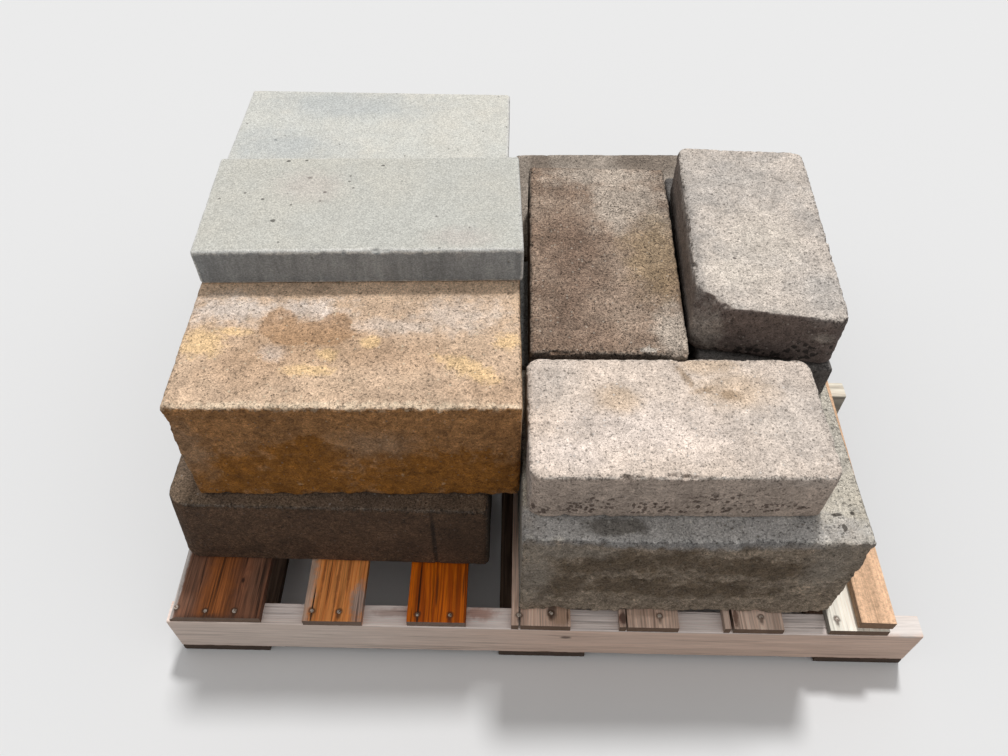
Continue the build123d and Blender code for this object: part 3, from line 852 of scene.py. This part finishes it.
def sawn_wood(node, pale, deep, along="Y", spacing=11.0, contrast=0.75, roughness=0.75, knots=(), stains=(),
              ends_and_shade=(0.12, 0.075, 0.05), wall_shade=0.75, fibre=0.2, nails=(), rough_sawn=0.0, patchy=0.20):
    """Sawn softwood: growth rings, fibres, fine checks, knots, stains, ends darkened part by end grain and
    part as painted shade, and rust at the nails.

    Spacing is that of the rings in millimetres, and wall_shade how bright the side faces are beside the top,
    as painted shade."""
    finish = Finish(f"{node}_lumber", roughness=roughness)
    long_way = (1, 0.06, 1) if along == "Y" else (0.06, 1, 1)
    place = finish.node("SeparateXYZ", {0: finish.place}).outputs
    across = place["X"] if along == "Y" else finish.math("ADD", place["Y"], place["Z"])
    wander = finish.noise(38, detail=2, rough=0.5, stretch=long_way, shift=0.7)
    ring, knot_share = bent_rings(finish, knots, across, along, spacing, wander)
    wave = finish.math("SINE", finish.math("MULTIPLY", ring, 2 * math.pi))
    late = finish.ease(wave, -0.3, 0.95)
    mottle = finish.noise(20, detail=4, rough=0.6, stretch=long_way, shift=2.0)
    colour = finish.mix(finish.math("MULTIPLY", late, contrast), pale, deep)
    colour = finish.shade(colour, mottle, 1 - patchy, 1 + patchy, 0.34, 0.66)
    colour = finish.stained(colour, stains)
    fine = (1, 0.03, 1) if along == "Y" else (0.03, 1, 1)
    fibres = finish.noise(2.2, detail=3, rough=0.7, stretch=fine, shift=4.0)
    colour = finish.shade(colour, fibres, 1 - 1.5 * fibre, 1 + 1.5 * fibre, 0.3, 0.7)
    checks = finish.ease(finish.noise(5.5, detail=2, rough=0.5, stretch=fine, shift=9.0), 0.58, 0.70)
    colour = finish.shade(colour, checks, 1.0, 1 - 2.2 * fibre, 0.0, 1.0)
    if rough_sawn:
        fuzz = finish.noise(5, detail=5, rough=0.85, shift=8.0)
        colour = finish.shade(colour, fuzz, 1 - rough_sawn, 1 + rough_sawn, 0.32, 0.68)
        finish.bump(fuzz, 1.6, 0.8)
    if knot_share:
        colour = finish.mix(finish.math("MULTIPLY", knot_share, 0.85), colour, scaled(deep, 0.22))
    # Painted shade: faces that don't look up are darkened
    colour = finish.shade(colour, finish.facing("Z"), wall_shade, 1.0, 0.0, 1.0)
    # The end faces take a dark end-grain colour: part their own tone and part painted shade
    end_face = finish.math("MAXIMUM", finish.facing(along), finish.facing("-" + along))
    end_grain_and_shade = finish.shade(finish.mix(fibres, ends_and_shade, scaled(ends_and_shade, 1.7)), mottle, 0.8, 1.2)
    colour = finish.mix(end_face, colour, end_grain_and_shade)
    colour = rust_marks(finish, colour, nails)
    finish.bump(fibres, 0.6, 0.7)
    finish.bump(finish.math("SUBTRACT", 1.0, checks), 0.8, 0.6)
    finish.bump(late, 0.3, 0.5)
    return finish.done(colour)


def deck_board_1_finish(node):
    """Dark red-brown lumber, orange along the middle and bleached along its left edge."""
    stains = [
        stain((0.205, 0.108, 0.068), share=0.6, soft=0.8, ragged=0.8, feature=30, spots=on_top(DECK_TOP, [
            (-0.548, -0.4, 0.024, 0.09), (-0.44, -0.4, 0.016, 0.08)])),
        stain((0.46, 0.135, 0.022), share=0.7, soft=0.7, ragged=0.8, feature=20, spots=on_top(DECK_TOP, [
            (-0.5, -0.44, 0.022, 0.1)])),
        stain((0.085, 0.045, 0.03), share=0.8, soft=0.6, ragged=0.7, feature=16, spots=on_top(DECK_TOP, [
            (-0.5, -0.484, 0.08, 0.009)])),
        stain((0.66, 0.6, 0.56), share=0.9, soft=0.3, ragged=0.5, feature=20, spots=[
            ((-0.566, -0.3, 0.112), (0.01, 0.45, 0.02))]),
    ]
    return sawn_wood(
        node, (0.258, 0.1, 0.049), (0.15, 0.058, 0.03), roughness=0.65, wall_shade=0.55,
        spacing=7, contrast=0.36, knots=[((-0.464, -0.417, DECK_TOP), 0.0024)],
        nails=nails_on(-0.57, -0.42), fibre=0.33, stains=stains)


def deck_board_2_finish(node):
    """Orange lumber with fine splits, greyed at both edges."""
    stains = [
        stain((0.66, 0.5, 0.4), share=0.85, soft=0.5, ragged=0.9, feature=14, spots=on_top(DECK_TOP, [
            (-0.363, -0.42, 0.012, 0.08)])),
        stain((0.5, 0.42, 0.38), share=0.8, soft=0.5, ragged=0.9, feature=14, spots=on_top(DECK_TOP, [
            (-0.281, -0.448, 0.012, 0.03)])),
        splits([crack(-0.35, -0.485, -0.425)]),
        splits([crack(-0.331, -0.45, -0.36, 0.7)], share=0.8),
        stain((0.33, 0.1, 0.03), share=0.7, soft=0.6, ragged=0.8, feature=10, spots=[
            crack(-0.318, -0.46, -0.37, 2.4), crack(-0.302, -0.43, -0.35, 1.8),
            crack(-0.341, -0.44, -0.36, 1.6)]),
    ]
    return sawn_wood(
        node, (0.94, 0.355, 0.1), (0.66, 0.165, 0.031), roughness=0.5, wall_shade=0.5,
        nails=nails_on(-0.37, -0.27), fibre=0.25, patchy=0.24, contrast=0.45, stains=stains)


def deck_board_3_finish(node):
    """Deep orange lumber with one long split and darker streaks."""
    stains = [
        splits([crack(-0.1905, -0.49, -0.375, 1.6)]),
        stain((0.17, 0.036, 0.003), share=0.35, soft=0.8, ragged=0.7, feature=20, spots=[
            crack(-0.196, -0.46, -0.37, 6.0), crack(-0.134, -0.47, -0.38, 4.0)]),
        splits([
            crack(-0.164, -0.452, -0.4, 1.6), crack(-0.124, -0.44, -0.395, 1.2)],
            share=0.7, colour=(0.1, 0.03, 0.01)),
    ]
    return sawn_wood(
        node, (0.76, 0.167, 0.005), (0.39, 0.064, 0.002), roughness=0.42, wall_shade=0.5,
        nails=nails_on(-0.21, -0.12), fibre=0.22, stains=stains)


def deck_board_4_finish(node):
    """Pale pinkish lumber with a knot and a dark mark beside it."""
    stains = [
        stain((0.52, 0.33, 0.225), share=0.75, soft=0.3, ragged=0.7, feature=12, spots=on_top(DECK_TOP, [
            (0.024, -0.462, 0.018, 0.018)])),
        stain((0.13, 0.07, 0.045), share=0.8, soft=0.4, ragged=0.9, feature=6, spots=on_top(DECK_TOP, [
            (0.0345, -0.464, 0.0015, 0.013)], thick=0.01)),
    ]
    return sawn_wood(
        node, (0.92, 0.66, 0.52), (0.74, 0.5, 0.385), roughness=0.75, wall_shade=0.5,
        knots=[((0.011, -0.458, DECK_TOP), 0.007)], nails=nails_on(-0.04, 0.02), stains=stains)


def deck_board_5_finish(node):
    """Pale pinkish lumber with a red knot and a brown streak."""
    stains = [
        stain((0.42, 0.27, 0.19), share=0.5, soft=0.6, ragged=1.4, feature=12, spots=on_top(DECK_TOP, [
            (0.16, -0.458, 0.035, 0.006)])),
        stain((0.22, 0.05, 0.035), share=0.9, soft=0.4, ragged=0.9, feature=6, spots=on_top(DECK_TOP, [
            (0.117, -0.466, 0.005, 0.009)], thick=0.01)),
    ]
    return sawn_wood(
        node, (0.86, 0.63, 0.5), (0.68, 0.47, 0.365), roughness=0.78, wall_shade=0.5,
        knots=[((0.118, -0.466, DECK_TOP), 0.005)], nails=nails_on(0.12, 0.2), stains=stains)


def deck_board_6_finish(node):
    """Pale pinkish lumber with one dark mark."""
    stains = [
        stain((0.16, 0.07, 0.045), share=0.8, soft=0.4, ragged=0.9, feature=7, spots=on_top(DECK_TOP, [
            (0.2875, -0.462, 0.0035, 0.014)], thick=0.01)),
    ]
    return sawn_wood(
        node, (0.86, 0.65, 0.53), (0.68, 0.48, 0.375), roughness=0.78, wall_shade=0.5,
        nails=nails_on(0.28, 0.35), stains=stains)


def stringer_front_finish(node):
    """Pinkish lumber, paler on top, part bleached and part painted light, bleached toward its left end, and
    with red-brown marks on top.
    """
    stains = [
        # Paler top: part bleached wood and part painted light against the darker front
        stain((1.0, 0.89, 0.84), share=0.9, soft=0.2, ragged=0.2, feature=40, spots=on_top(STRINGER_TOP, [
            (0.0, -0.462, 0.6, 0.03)], thick=0.005)),
        stain((1.0, 0.84, 0.74), share=0.9, soft=0.8, ragged=0.3, feature=60, spots=[
            ((-0.42, -0.482, 0.06), (0.28, 0.01, 0.09))]),
        stain((0.5, 0.22, 0.14), share=0.7, soft=0.6, ragged=0.9, feature=14, spots=on_top(STRINGER_TOP, [
            (-0.098, -0.457, 0.022, 0.01)], thick=0.01)),
        stain((0.4, 0.2, 0.14), share=0.5, soft=0.6, ragged=0.9, feature=18, spots=on_top(STRINGER_TOP, [
            (-0.228, -0.458, 0.035, 0.006)], thick=0.01)),
        stain((0.86, 0.82, 0.78), share=0.7, soft=0.4, ragged=0.7, feature=30, spots=on_top(STRINGER_TOP, [
            (0.545, -0.462, 0.04, 0.02)], thick=0.008)),
    ]
    return sawn_wood(
        node, (0.97, 0.715, 0.58), (0.87, 0.605, 0.48), along="X", spacing=8,
        contrast=0.35, patchy=0.09, roughness=0.8, wall_shade=0.8, knots=[((0.034, -0.48, 0.074), 0.0045)],
        ends_and_shade=(0.42, 0.33, 0.27), fibre=0.1, stains=stains)


# Lumber with no marks of its own
PLAIN_WOOD = {
    "deck_board_7": dict(
        pale=(1.0, 0.94, 0.82), deep=(0.92, 0.83, 0.71), roughness=0.8, wall_shade=0.30,
        nails=nails_on(0.42, 0.52), contrast=0.5, fibre=0.1),
    "loose_board": dict(
        pale=(0.81, 0.52, 0.33), deep=(0.74, 0.47, 0.29), roughness=0.9, contrast=0.35, rough_sawn=0.34,
        wall_shade=0.45, ends_and_shade=(0.20, 0.125, 0.08), fibre=0.12),
    "stringer_middle": dict(
        pale=(0.98, 0.90, 0.75), deep=(0.82, 0.70, 0.56), along="X", spacing=14, contrast=0.5,
        roughness=0.8, wall_shade=0.52, ends_and_shade=(0.16, 0.10, 0.07)),
    "stringer_rear": dict(
        pale=(0.68, 0.57, 0.48), deep=(0.54, 0.43, 0.35), along="X", spacing=14, contrast=0.55,
        roughness=0.8, wall_shade=0.80, knots=[((-0.21, 0.480, 0.060), 0.008), ((0.30, 0.480, 0.045), 0.006)],
        ends_and_shade=(0.40, 0.31, 0.25)),
}
BOTTOM_BOARDS = ["bottom_board_left", "bottom_board_centre", "bottom_board_right"]
# The bottom boards' dark browns are part their own tone and part painted shade from under the pallet
for place, board in enumerate(BOTTOM_BOARDS):
    PLAIN_WOOD[board] = dict(
        pale=(0.20, 0.13, 0.09), deep=(0.12, 0.075, 0.05), roughness=0.85, wall_shade=0.5, spacing=10 + 2 * place,
        ends_and_shade=(0.06, 0.04, 0.03))
MARKED_WOOD = {
    "deck_board_1": deck_board_1_finish,
    "deck_board_2": deck_board_2_finish,
    "deck_board_3": deck_board_3_finish,
    "deck_board_4": deck_board_4_finish,
    "deck_board_5": deck_board_5_finish,
    "deck_board_6": deck_board_6_finish,
    "stringer_front": stringer_front_finish,
}
DECK_BOARDS = [f"deck_board_{number}" for number in range(1, 8)]
STRINGERS = ["stringer_front", "stringer_middle", "stringer_rear"]


def wood_finish(node):
    if node in MARKED_WOOD:
        return MARKED_WOOD[node](node)
    return sawn_wood(node, **PLAIN_WOOD[node])


# A sawn piece's grid, its raised grain, and how its arrises are nibbled
STEP_ALONG = 9 * MM
STEP_ACROSS = 4.5 * MM
GRAIN_DEPTH = 0.30 * MM
NIBBLE_DEPTH = 1.1 * MM
NIBBLE_REACH = 6 * MM


def gridded(mesh, low, high, long_axis):
    """Cuts a mesh into a fine grid, longer along the grain."""
    work = bmesh.new()
    work.from_mesh(mesh)
    for axis in range(3):
        step = STEP_ALONG if axis == long_axis else STEP_ACROSS
        normal = tuple(1.0 if axis == other else 0.0 for other in range(3))
        count = int((high[axis] - low[axis]) / step)
        for place in range(1, count):
            point = [0.0, 0.0, 0.0]
            point[axis] = low[axis] + (high[axis] - low[axis]) * place / count
            everything = work.verts[:] + work.edges[:] + work.faces[:]
            bmesh.ops.bisect_plane(work, geom=everything, dist=1e-6, plane_co=point, plane_no=normal)
    work.to_mesh(mesh)
    work.free()


def sawn_surface(node, along):
    """A sawn piece with raised grain and nibbled arrises."""
    mesh = merged_copy(node)
    low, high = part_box(node)
    long_axis = 1 if along == "Y" else 0
    gridded(mesh, low, high, long_axis)
    places = of_vertices(mesh, "co")
    stretched = places.copy()
    stretched[:, long_axis] *= 0.06
    grain = fractal(stretched, 7 * MM, 3, 3)
    nibble = fractal(places, 22 * MM, 3, 5)
    inset = np.minimum(places - np.array(low), np.array(high) - places)
    inset[:, long_axis] = 1.0
    near_arris = np.clip(1 - np.partition(inset, 1, axis=1)[:, 1] / NIBBLE_REACH, 0, 1)
    depth = GRAIN_DEPTH * np.clip(0.5 + grain, 0, 1.4)
    depth += NIBBLE_DEPTH * near_arris * np.clip(nibble - 0.05, 0, 1)
    sink(mesh, places, depth)
    return mesh


# Nails

def nail_head_tree(material):
    """Domed nail heads on points, each a little turned, tilted and sized."""
    tree = bpy.data.node_groups.new("nail_heads", "GeometryNodeTree")
    kinds = {"Head radius": "Float", "Head height": "Float", "Tilt": "Float", "Seed": "Int"}
    for name, kind in {"Places": "Geometry", **kinds}.items():
        tree.interface.new_socket(name, in_out="INPUT", socket_type="NodeSocket" + kind)
    tree.interface.new_socket("Nails", in_out="OUTPUT", socket_type="NodeSocketGeometry")
    given = tree.nodes.new("NodeGroupInput").outputs
    radius = given["Head radius"]
    ball = add_node(tree, "GeometryNodeMeshUVSphere", {"Segments": 14, "Rings": 7, "Radius": 1.0})
    size = add_node(tree, "ShaderNodeCombineXYZ", {"X": radius, "Y": radius, "Z": given["Head height"]})
    dome = add_node(tree, "GeometryNodeTransform", {
        "Geometry": ball.outputs["Mesh"], "Scale": size.outputs["Vector"]})
    low, high = [
        add_node(tree, "ShaderNodeVectorMath", {0: reach, "Scale": given["Tilt"]}, operation="SCALE")
        for reach in ((-1, -1, -3), (1, 1, 3))]
    tilt = add_node(
        tree, "FunctionNodeRandomValue", data_type="FLOAT_VECTOR",
        sockets={"Min": low.outputs["Vector"], "Max": high.outputs["Vector"], "Seed": given["Seed"]})
    spread = add_node(
        tree, "FunctionNodeRandomValue", {2: 0.85, 3: 1.1, "Seed": given["Seed"]}, data_type="FLOAT")
    laid = add_node(tree, "GeometryNodeInstanceOnPoints", {
        "Points": given["Places"], "Instance": dome.outputs["Geometry"],
        "Rotation": tilt.outputs["Value"], "Scale": spread.outputs[1]})
    real = add_node(tree, "GeometryNodeRealizeInstances", {"Geometry": laid.outputs["Instances"]})
    steely = add_node(tree, "GeometryNodeSetMaterial", {
        "Geometry": real.outputs["Geometry"], "Material": material})
    add_node(tree, "NodeGroupOutput", {"Nails": steely.outputs["Geometry"]})
    return tree


def steel():
    """Worn steel nail heads, part bright and part rusted."""
    finish = Finish("nail_steel", roughness=0.5, specular=0.5)
    rust = finish.ease(finish.noise(3, detail=3, shift=1.5), 0.40, 0.62)
    colour = finish.mix(rust, (0.62, 0.54, 0.46), (0.15, 0.075, 0.042))
    finish.bump(rust, 0.2, 0.5)
    return finish.done(colour)


NAIL_HEAD = {"Head radius": 3.3 * MM, "Head height": 0.8 * MM, "Tilt": 0.09, "Seed": 4}
REAR_NAIL_Y = 0.466
REAR_NAIL_SHIFT = 4 * MM


def deck_nails():
    """Nail heads where the deck boards meet the front and rear stringers."""
    rear = [(x + REAR_NAIL_SHIFT, REAR_NAIL_Y) for x, _ in FRONT_NAILS]
    places = [(x, y, DECK_TOP) for x, y in FRONT_NAILS + rear]
    points = bpy.data.meshes.new("deck_nails")
    points.from_pydata(places, [], [])
    holder = new_object("deck_nail_places", points)
    tree = nail_head_tree(steel())
    modifier = holder.modifiers.new("nail_heads", "NODES")
    modifier.node_group = tree
    for item in tree.interface.items_tree:
        if item.in_out == "INPUT" and item.name in NAIL_HEAD:
            modifier[item.identifier] = NAIL_HEAD[item.name]
    piece = new_object("deck_nail_heads", applied(holder))
    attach(piece, "root")


def dress(node, mesh, finish):
    """Stands a finished piece in for its CAD node."""
    mesh.materials.clear()
    mesh.materials.append(finish)
    piece = new_object(f"{node}_worn", mesh)
    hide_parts(node)
    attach(piece, "root")


def dress_blocks():
    for node in BLOCKS:
        dress(node, worn_block(node), block_finish(node))


def dress_wood():
    for node in DECK_BOARDS + ["loose_board"] + STRINGERS + BOTTOM_BOARDS:
        along = "X" if node in STRINGERS else "Y"
        dress(node, sawn_surface(node, along), wood_finish(node))


# Camera: as the photograph was taken, from in front and above

CAMERA_AT = (-0.0615, -0.9855, 1.2899)
CAMERA_YAW = math.radians(-0.43)
CAMERA_PITCH = math.radians(49.94)
CAMERA_ROLL = math.radians(0.73)
LENS = 29.29


def add_camera():
    forward = np.array([
        math.sin(CAMERA_YAW) * math.cos(CAMERA_PITCH),
        math.cos(CAMERA_YAW) * math.cos(CAMERA_PITCH),
        -math.sin(CAMERA_PITCH),
    ])
    level = np.array([math.cos(CAMERA_YAW), -math.sin(CAMERA_YAW), 0.0])
    upward = np.cross(level, forward)
    right = math.cos(CAMERA_ROLL) * level + math.sin(CAMERA_ROLL) * upward
    up = -math.sin(CAMERA_ROLL) * level + math.cos(CAMERA_ROLL) * upward
    data = bpy.data.cameras.new("camera")
    data.lens = LENS
    data.sensor_width = 36
    data.sensor_fit = "HORIZONTAL"
    data.clip_start = 0.01
    camera = new_object("camera", data)
    turn = Matrix([right, up, -forward]).transposed().to_4x4()
    camera.matrix_world = Matrix.Translation(CAMERA_AT) @ turn
    bpy.context.scene.camera = camera


# Light: a soft lamp high behind, and a pale sky

KEY_FROM = Vector((0.12, 0.45, 1.0))
KEY_AWAY = 4
KEY_STRENGTH = 1.80
KEY_ANGLE = math.radians(7)
SKY = 0.52
FLOOR_SEEN = 0.80
FLOOR_BOUNCE = 0.35
FLOOR_HALF = 60.0


def add_key():
    lamp = bpy.data.lights.new("key", "SUN")
    lamp.energy = KEY_STRENGTH
    lamp.angle = KEY_ANGLE
    key = new_object("key", lamp)
    turn = KEY_FROM.to_track_quat("Z", "Y").to_matrix().to_4x4()
    key.matrix_world = Matrix.Translation(KEY_FROM * KEY_AWAY) @ turn


def add_sky():
    """Even light on the object, and as pale as the floor where the camera sees it."""
    world = bpy.data.worlds.new("sky")
    world.use_nodes = True
    tree = world.node_tree
    seen = tree.nodes.new("ShaderNodeLightPath").outputs["Is Camera Ray"]
    level = add_node(tree, "ShaderNodeMapRange", {"Value": seen, "To Min": SKY, "To Max": FLOOR_SEEN})
    background = tree.nodes["Background"]
    feed(background.inputs["Color"], (1, 1, 1))
    feed(background.inputs["Strength"], level.outputs["Result"])
    bpy.context.scene.world = world


def add_floor():
    """A wide plain floor, pale to the camera and duller in the light that it throws back."""
    side = FLOOR_HALF
    mesh = bpy.data.meshes.new("floor")
    corners = [(-side, -side, 0), (side, -side, 0), (side, side, 0), (-side, side, 0)]
    mesh.from_pydata(corners, [], [(0, 1, 2, 3)])
    floor = new_object("floor", mesh)
    finish = Finish("floor_paint", roughness=0.9)
    rays = finish.node("LightPath").outputs
    seen = finish.math("MAXIMUM", rays["Is Camera Ray"], rays["Is Glossy Ray"])
    dim = (FLOOR_BOUNCE, FLOOR_BOUNCE, FLOOR_BOUNCE)
    pale = (FLOOR_SEEN, FLOOR_SEEN, FLOOR_SEEN)
    floor.data.materials.append(finish.done(finish.mix(seen, dim, pale)))


bpy.context.scene.view_settings.view_transform = "Standard"
dress_blocks()
dress_wood()
deck_nails()
add_floor()
add_key()
add_sky()
add_camera()
